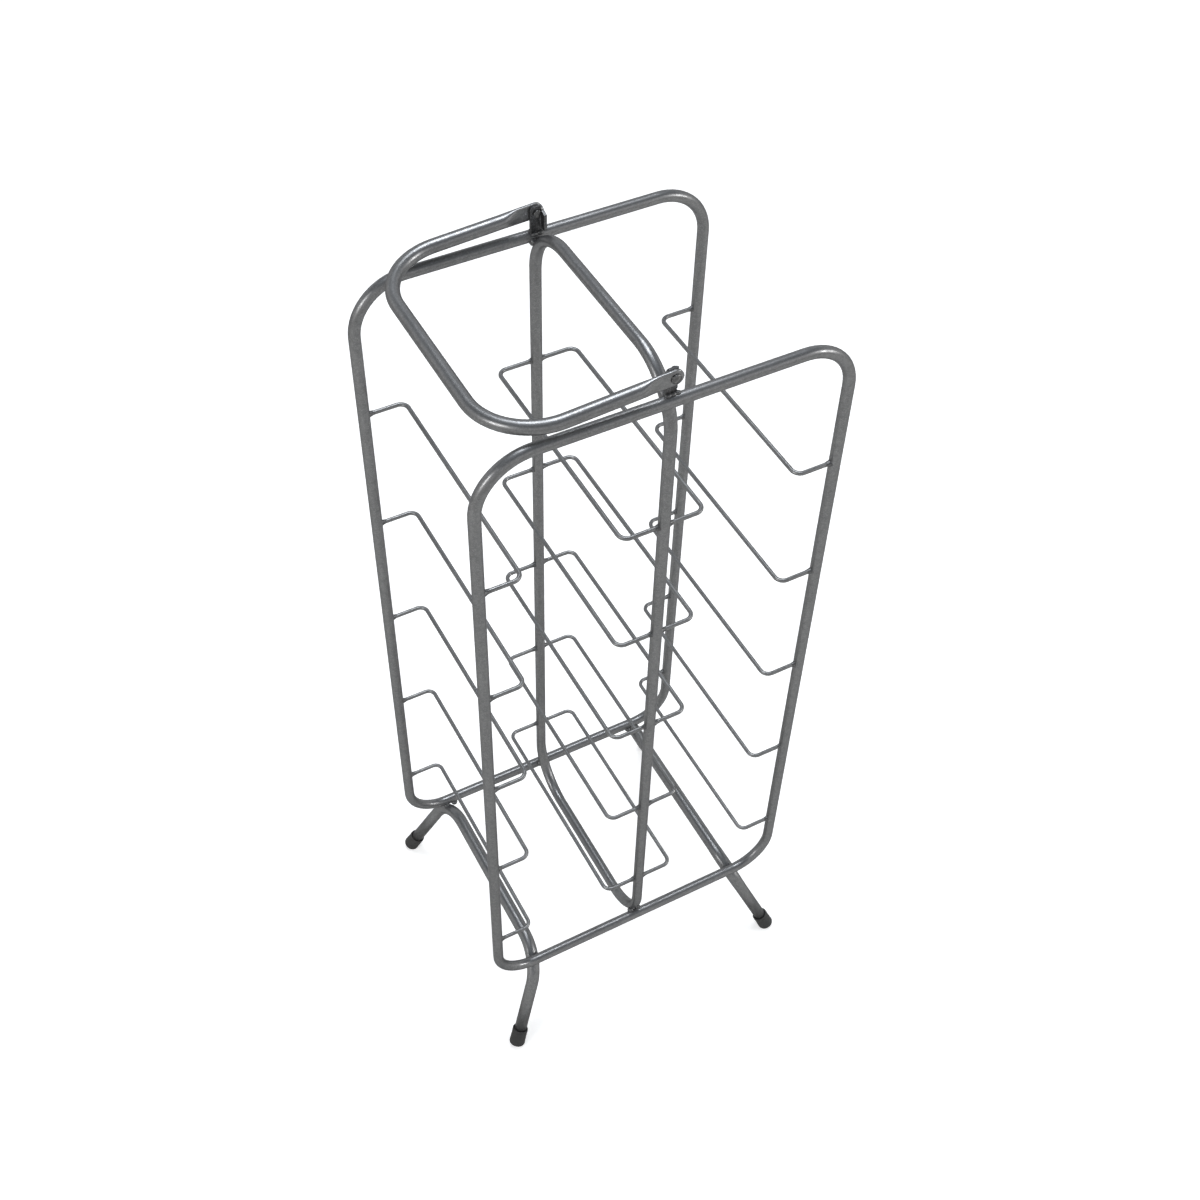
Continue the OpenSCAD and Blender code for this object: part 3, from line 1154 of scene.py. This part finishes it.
@dataclass
class CarryHandle:
    """The folding handle: one bent tube with flattened ends.

    The ends have no holes. The rivets' shanks run through them, under the rivet heads.
    """

    rack: RackMeasures
    finish: Finish
    tube_r: float = 4.5 * MM
    bend_r: float = 41.0 * MM
    flat_half_width: float = 5.5 * MM
    flat_half_thick: float = 1.3 * MM
    flat_length: float = 10.0 * MM
    blend_length: float = 13.0 * MM
    sides: int = 40

    def arm_line(self) -> tuple[float, float, float]:
        """Work out the handle's reach, tilt and half spread from its CAD box.

        Returns:
            Reach, tilt and half spread.
        """
        low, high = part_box("handle")
        fall = self.rack.pivot.z - self.tube_r - low.z
        out = -low.x - self.tube_r
        return math.hypot(fall, out), math.atan2(fall, out), high.y - self.tube_r

    def section(self, out: float) -> tuple[float, float, float]:
        """Give the section at a distance from the pivot.

        Args:
            out: distance along the arm; below zero is past the pivot.

        Returns:
            Half width, half thickness and squareness.
        """
        if out <= 0.0:
            short = min(-out / self.flat_half_width, 0.999)
            width = self.flat_half_width * math.sqrt(1.0 - short * short)
            thick = self.flat_half_thick * (1.0 - 0.35 * short ** 6)
            return width, thick, 4.5
        if out <= self.flat_length:
            return self.flat_half_width, self.flat_half_thick, 4.5
        step = min((out - self.flat_length) / self.blend_length, 1.0)
        ease = step * step * (3.0 - 2.0 * step)
        width = self.flat_half_width + (self.tube_r - self.flat_half_width) * ease
        thick = self.flat_half_thick + (self.tube_r - self.flat_half_thick) * ease
        return width, thick, 4.5 + (2.0 - 4.5) * math.sqrt(ease)

    def ring(self, centre: Vector, along: Vector, out: float) -> list[Vector]:
        """Make one ring of the tube.

        Args:
            centre: its centre, in the handle's plane.
            along: the tube's direction there.
            out: distance from the pivot, for the section.

        Returns:
            The ring's points, in the handle's plane.
        """
        width, thick, square = self.section(out)
        flat_axis = Vector((0.0, 0.0, 1.0))
        side_axis = along.cross(flat_axis).normalized()
        points = []
        for i in range(self.sides):
            turn = 2.0 * math.pi * i / self.sides
            c, s = math.cos(turn), math.sin(turn)
            x = math.copysign(abs(c) ** (2.0 / square), c) * thick
            z = math.copysign(abs(s) ** (2.0 / square), s) * width
            points.append(centre + side_axis * x + flat_axis * z)
        return points

    def build(self) -> Piece:
        """Make the handle."""
        reach, tilt, spread = self.arm_line()
        straight = reach - self.bend_r
        stations: list[tuple[Vector, Vector, float]] = []
        tip = [-self.flat_half_width * math.sin(math.radians(a)) for a in range(88, 0, -8)]
        run = [self.flat_length * i / 4 for i in range(5)]
        run += [self.flat_length + self.blend_length * i / 14 for i in range(1, 15)]
        run += [straight]
        for out in tip + run:
            stations.append((Vector((-out, -spread, 0.0)), Vector((-1.0, 0.0, 0.0)), out))
        for turn in range(3, 91, 3):
            a = math.radians(turn)
            centre = Vector((-straight - self.bend_r * math.sin(a),
                             -spread + self.bend_r * (1.0 - math.cos(a)), 0.0))
            stations.append((centre, Vector((-math.cos(a), math.sin(a), 0.0)), straight))
        for centre, along, out in reversed(list(stations)):
            mirrored = Vector((centre.x, -centre.y, centre.z))
            stations.append((mirrored, Vector((-along.x, along.y, along.z)), out))
        lay = Matrix.Translation(self.rack.pivot) @ Matrix.Rotation(-tilt, 4, "Y")
        mesh = bmesh.new()
        rings = []
        for centre, along, out in stations:
            rings.append([lay @ p for p in self.ring(centre, along, out)])
        skin_rings(mesh, rings)
        piece = mesh_object("carry_handle", mesh, self.finish)
        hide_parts("handle")
        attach(piece, Body.HANDLE.value)
        return piece


@dataclass
class Pivots:
    """The two sheet brackets and the rivets that hold the handle."""

    rack: RackMeasures
    sheet: Finish
    rivet: Finish
    sheet_t: float = 2.0 * MM
    bend_r: float = 1.0 * MM
    corner_r: float = 2.5 * MM
    flange_fall: float = 4.5 * MM
    head_r: float = 3.3 * MM
    head_h: float = 1.6 * MM

    def bracket(self, end: str, way: float) -> Piece:
        """Make one bracket: a plate with a folded flange.

        Args:
            end: front or back.
            way: -1 for the front, 1 for the back.

        Returns:
            The piece.
        """
        low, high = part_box(f"bracket_{end}")
        outer_y = high.y if way > 0 else -low.y
        depth = high.y - low.y
        left, right = low.x, high.x
        foot_z = self.rack.top_z + 1.0 * MM
        flange_z = self.rack.top_z + self.rack.tube_r + 2.5 * MM
        bend = self.bend_r + self.sheet_t
        mesh = bmesh.new()
        columns: list[tuple[Vector, Vector]] = []
        for i in range(9):
            x = left + (right - bend - left) * i / 8.0
            columns.append((Vector((x, outer_y, 0.0)), Vector((0.0, -1.0, 0.0))))
        for step in range(1, 9):
            a = math.radians(90.0 * step / 8.0)
            out = Vector((math.sin(a), math.cos(a), 0.0))
            centre = Vector((right - bend, outer_y - bend, 0.0))
            columns.append((centre + out * bend, -out))
        for i in range(1, 3):
            y = outer_y - bend - (depth - bend) * i / 2.0
            columns.append((Vector((right, y, 0.0)), Vector((-1.0, 0.0, 0.0))))
        grid = []
        for index, (outside, inward) in enumerate(columns):
            top = high.z
            from_left = outside.x - left
            if from_left < self.corner_r and index < 9:
                top -= self.corner_r - math.sqrt(
                    max(self.corner_r ** 2 - (self.corner_r - from_left) ** 2, 0.0))
            if index > 12:
                top -= self.flange_fall * min((index - 12) / 6.0, 1.0)
            base = foot_z if index < 10 else flange_z
            column = []
            for z in (base, base + (top - base) * 0.5, top):
                for depth_in in (0.0, self.sheet_t):
                    p = outside + inward * depth_in
                    column.append(mesh.verts.new((p.x, way * p.y, z)))
            grid.append(column)
        for a, b in zip(grid, grid[1:]):
            for low_i, high_i in ((0, 2), (2, 4), (1, 3), (3, 5)):
                mesh.faces.new((a[low_i], b[low_i], b[high_i], a[high_i]))
            mesh.faces.new((a[0], a[1], b[1], b[0]))
            mesh.faces.new((a[4], a[5], b[5], b[4]))
        for column in (grid[0], grid[-1]):
            mesh.faces.new((column[0], column[1], column[3], column[2]))
            mesh.faces.new((column[2], column[3], column[5], column[4]))
        piece = mesh_object(f"pivot_bracket_{end}", mesh, self.sheet)
        self.soften(piece, 0.35 * MM)
        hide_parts(f"bracket_{end}")
        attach(piece, Body.RACK.value)
        return piece

    @staticmethod
    def soften(piece: Piece, width: float) -> None:
        """Round a piece's sharp edges.

        Args:
            piece: the piece.
            width: width of the rounding.
        """
        bevel = piece.modifiers.new("Softened edges", "BEVEL")
        bevel.width = width
        bevel.segments = 3
        bevel.limit_method = "ANGLE"
        bevel.angle_limit = math.radians(40.0)
        bevel.harden_normals = True

    def rivet_piece(self, end: str, way: float) -> Piece:
        """Make one rivet, with a domed outer head and a flat inner head.

        Args:
            end: front or back.
            way: -1 for the front, 1 for the back.

        Returns:
            The piece.
        """
        low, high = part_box(f"rivet_{end}")
        outer = high.y if way > 0 else -low.y
        inner = low.y if way > 0 else -high.y
        seat = outer - self.head_h
        rim = 0.35 * MM
        ball = (self.head_r ** 2 + (self.head_h - rim) ** 2) / (2.0 * (self.head_h - rim))
        profile = [(inner, 0.4 * MM)]
        profile += rounded_step(inner + rim, 2.3 * MM, 180.0, 90.0, rim)
        profile += [(inner + 1.3 * MM, 2.65 * MM), (inner + 1.3 * MM, 2.0 * MM)]
        profile += [(seat, 2.0 * MM)]
        profile += [(seat, self.head_r - 0.15 * MM), (seat + 0.15 * MM, self.head_r)]
        widest = math.asin(self.head_r / ball)
        for i in range(12):
            a = widest * (1.0 - i / 12.0)
            profile.append((outer - ball + ball * math.cos(a), ball * math.sin(a)))
        profile.append((outer, 0.25 * MM))
        place = axis_place(Vector((0.0, 0.0, self.rack.pivot.z)), Vector((0.0, way, 0.0)))
        mesh = bmesh.new()
        turned(mesh, profile, place, 36)
        piece = mesh_object(f"pivot_rivet_{end}", mesh, self.rivet)
        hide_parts(f"rivet_{end}")
        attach(piece, Body.RACK.value)
        return piece

    def build(self) -> list[Piece]:
        """Make both pivots."""
        pieces = []
        for end, way in (("front", -1.0), ("back", 1.0)):
            pieces.append(self.bracket(end, way))
            pieces.append(self.rivet_piece(end, way))
        return pieces


@dataclass
class RubberCaps:
    """The rubber caps on the four legs."""

    feet: FootLines
    finish: Finish
    radius: float = 6.5 * MM
    length: float = 16.0 * MM
    leg_r: float = 5.0 * MM
    round_r: float = 2.0 * MM
    rim_r: float = 0.6 * MM

    def profile(self) -> list[tuple[float, float]]:
        """List the cap's profile, from its mouth down to its sole.

        Returns:
            Pairs of distance along the leg and radius.
        """
        points = [(2.2 * MM, self.leg_r - 0.4 * MM), (0.7 * MM, self.leg_r + 0.05 * MM)]
        points += rounded_step(self.rim_r, self.leg_r + 0.75 * MM, 225.0, 90.0, self.rim_r)
        points += [(2.6 * MM, self.radius - 0.1 * MM), (3.2 * MM, self.radius - 0.25 * MM)]
        points += [(self.length * 0.55, self.radius - 0.15 * MM)]
        points += rounded_step(
            self.length - self.round_r, self.radius - self.round_r, 90.0, 0.0, self.round_r, 10)
        points += [(self.length, share * (self.radius - self.round_r)) for share in (0.7, 0.4, 0.1)]
        return points

    def cap(self, end: str, side: str) -> Piece:
        """Make one cap.

        Args:
            end: front or back.
            side: left or right.

        Returns:
            The piece.
        """
        mouth, down = self.feet.mouth(end, side), self.feet.down(end, side)
        mesh = bmesh.new()
        turned(mesh, self.profile(), axis_place(mouth, down), 48)
        for vertex in mesh.verts:
            vertex.co.z = max(vertex.co.z, 0.0)
        piece = mesh_object(f"rubber_cap_{end}_{side}", mesh, self.finish)
        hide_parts(f"foot_cap_{end}_{side}")
        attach(piece, Body.RACK.value)
        return piece

    def build(self) -> list[Piece]:
        """Make the four caps."""
        return [self.cap(end, side) for end in ("front", "back") for side in ("left", "right")]


@dataclass
class Studio:
    """The floor, the lights and the camera."""

    focal: float = 48.0
    azimuth: float = math.radians(-29.405)
    elevation: float = math.radians(48.704)
    roll: float = math.radians(1.785)
    place: tuple[float, float, float] = (-0.3667, -0.6610, 1.2462)
    horizon: float = 0.62
    zenith: float = 0.62
    shade_height: float = 0.74
    shade_left: float = 0.22

    def camera(self) -> Piece:
        """Set up the camera."""
        a, e, r = self.azimuth, self.elevation, self.roll
        right = Vector((math.cos(a), math.sin(a), 0.0))
        back = Vector((math.sin(a) * math.cos(e), -math.cos(a) * math.cos(e), math.sin(e)))
        up = back.cross(right)
        x_axis = right * math.cos(r) + up * math.sin(r)
        y_axis = up * math.cos(r) - right * math.sin(r)
        turn = Matrix((x_axis, y_axis, back)).transposed().to_4x4()
        data = bpy.data.cameras.new("studio_camera")
        data.sensor_width = 36.0
        data.lens = self.focal
        data.clip_start = 0.01
        camera = bpy.data.objects.new("studio_camera", data)
        camera.matrix_world = Matrix.Translation(self.place) @ turn
        bpy.context.collection.objects.link(camera)
        bpy.context.scene.camera = camera
        return camera

    def floor(self, material: Finish) -> Piece:
        """Lay the floor.

        Args:
            material: its finish.

        Returns:
            The floor.
        """
        mesh = bmesh.new()
        bmesh.ops.create_grid(mesh, x_segments=8, y_segments=8, size=5.0)
        floor = mesh_object("studio_floor", mesh, material)
        return floor

    def softbox(self, name: str, place: tuple[float, float, float], size: float, power: float,
                tint: tuple[float, float, float]) -> None:
        """Hang one large soft light that points at the rack.

        Args:
            name: the light's name.
            place: where it hangs.
            size: its width.
            power: its strength in watts.
            tint: its colour.
        """
        data = bpy.data.lights.new(name, "AREA")
        data.shape = "SQUARE"
        data.size = size
        data.energy = power
        data.color = tint
        light = bpy.data.objects.new(name, data)
        aim = Vector((0.0, 0.0, 0.35)) - Vector(place)
        turn = aim.to_track_quat("-Z", "Y").to_matrix().to_4x4()
        light.matrix_world = Matrix.Translation(place) @ turn
        bpy.context.collection.objects.link(light)

    def lights(self) -> None:
        """Light the studio."""
        world = bpy.data.worlds.new("studio_world")
        bpy.context.scene.world = world
        world.use_nodes = True
        tree = Tree(world.node_tree)
        apart = tree.add("ShaderNodeSeparateXYZ",
                         {0: tree.add("ShaderNodeTexCoord").outputs["Generated"]})
        away = tree.math("ABSOLUTE", tree.math("SUBTRACT", apart.outputs["Z"], self.shade_height))
        shade = tree.ramp(away, 0.08, 0.3, self.shade_left, 1.0)
        lift = tree.math("MULTIPLY", shade,
                         tree.ramp(apart.outputs["Z"], 0.05, 0.95, self.horizon, self.zenith))
        seen = tree.add("ShaderNodeLightPath").outputs["Is Camera Ray"]
        glow = tree.math("ADD", tree.math("MULTIPLY", lift, tree.math("SUBTRACT", 1.0, seen)), seen)
        ground = world.node_tree.nodes["Background"]
        height = tree.ramp(apart.outputs["Z"], 0.1, 0.8, 0.0, 1.0)
        tint = tree.mix_colour(height, (1.0, 0.985, 0.96, 1.0), (0.84, 0.915, 1.0, 1.0))
        tree.feed(ground.inputs["Color"], tree.mix_colour(seen, tint, (1.0, 1.0, 1.0, 1.0)))
        tree.feed(ground.inputs["Strength"], glow)
        self.softbox("overhead_light", (0.25, 0.5, 2.3), 0.75, 17.0, (0.93, 0.965, 1.0))
        self.softbox("left_light", (-2.2, -0.6, 1.5), 0.75, 13.0, (1.0, 0.99, 0.97))
        self.softbox("right_light", (2.0, -1.3, 1.3), 0.6, 14.0, (1.0, 0.99, 0.97))
        bpy.context.scene.view_settings.view_transform = "Standard"


def main(frame: dict) -> None:
    """Build, dress and light the rack.

    Args:
        frame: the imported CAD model.
    """
    logging.basicConfig(level=logging.INFO, format="%(name)s: %(message)s")
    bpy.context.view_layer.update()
    effects = Effects()
    tube = Lacquer("graphite_tube").build(effects)
    # The wires carry the tubes' paint, made a little lighter: a painted highlight on the thin
    # wires.
    wire = Lacquer("graphite_wire", tone=(0.32, 0.322, 0.328, 1.0), roughness=0.34,
                   peel_depth=0.008, flake_share=0.06, wear=0.05).build(effects)
    # The welds carry the tubes' paint, made darker: painted shade in the joints between wires,
    # tubes and brackets. Their rubbed edges are real wear.
    weld = Lacquer("graphite_weld", tone=(0.17, 0.171, 0.174, 1.0), roughness=0.42,
                   wear=0.6).build(effects)
    sheet = Lacquer("graphite_bracket", tone=(0.12, 0.121, 0.125, 1.0), wear=0.15).build(effects)
    rivet = Lacquer("worn_rivet", tone=(0.2, 0.2, 0.202, 1.0), metallic=0.95, roughness=0.33,
                    coat=0.0, wear=0.9, flake_share=0.1).build(effects)
    rubber = Rubber("foot_rubber").build(effects)
    rack = RackMeasures()
    feet = FootLines(rack, frame["nodes"])

    studio = Studio()
    studio.camera()
    studio.floor(StudioFloor().build())
    studio.lights()
    TubeWork(tube, wire).dress(frame["nodes"])
    pieces = BentWork(rack, feet, tube).build()
    pieces += WeldBeads(rack, feet, weld, weld).build()
    pieces.append(CarryHandle(rack, tube).build())
    pieces += Pivots(rack, sheet, rivet).build()
    pieces += RubberCaps(feet, rubber).build()
    for piece in pieces:
        LOG.info("%s: %d faces", piece.name, len(piece.data.polygons))
    bpy.context.view_layer.update()


if __name__ == "__main__":
    main(frame)
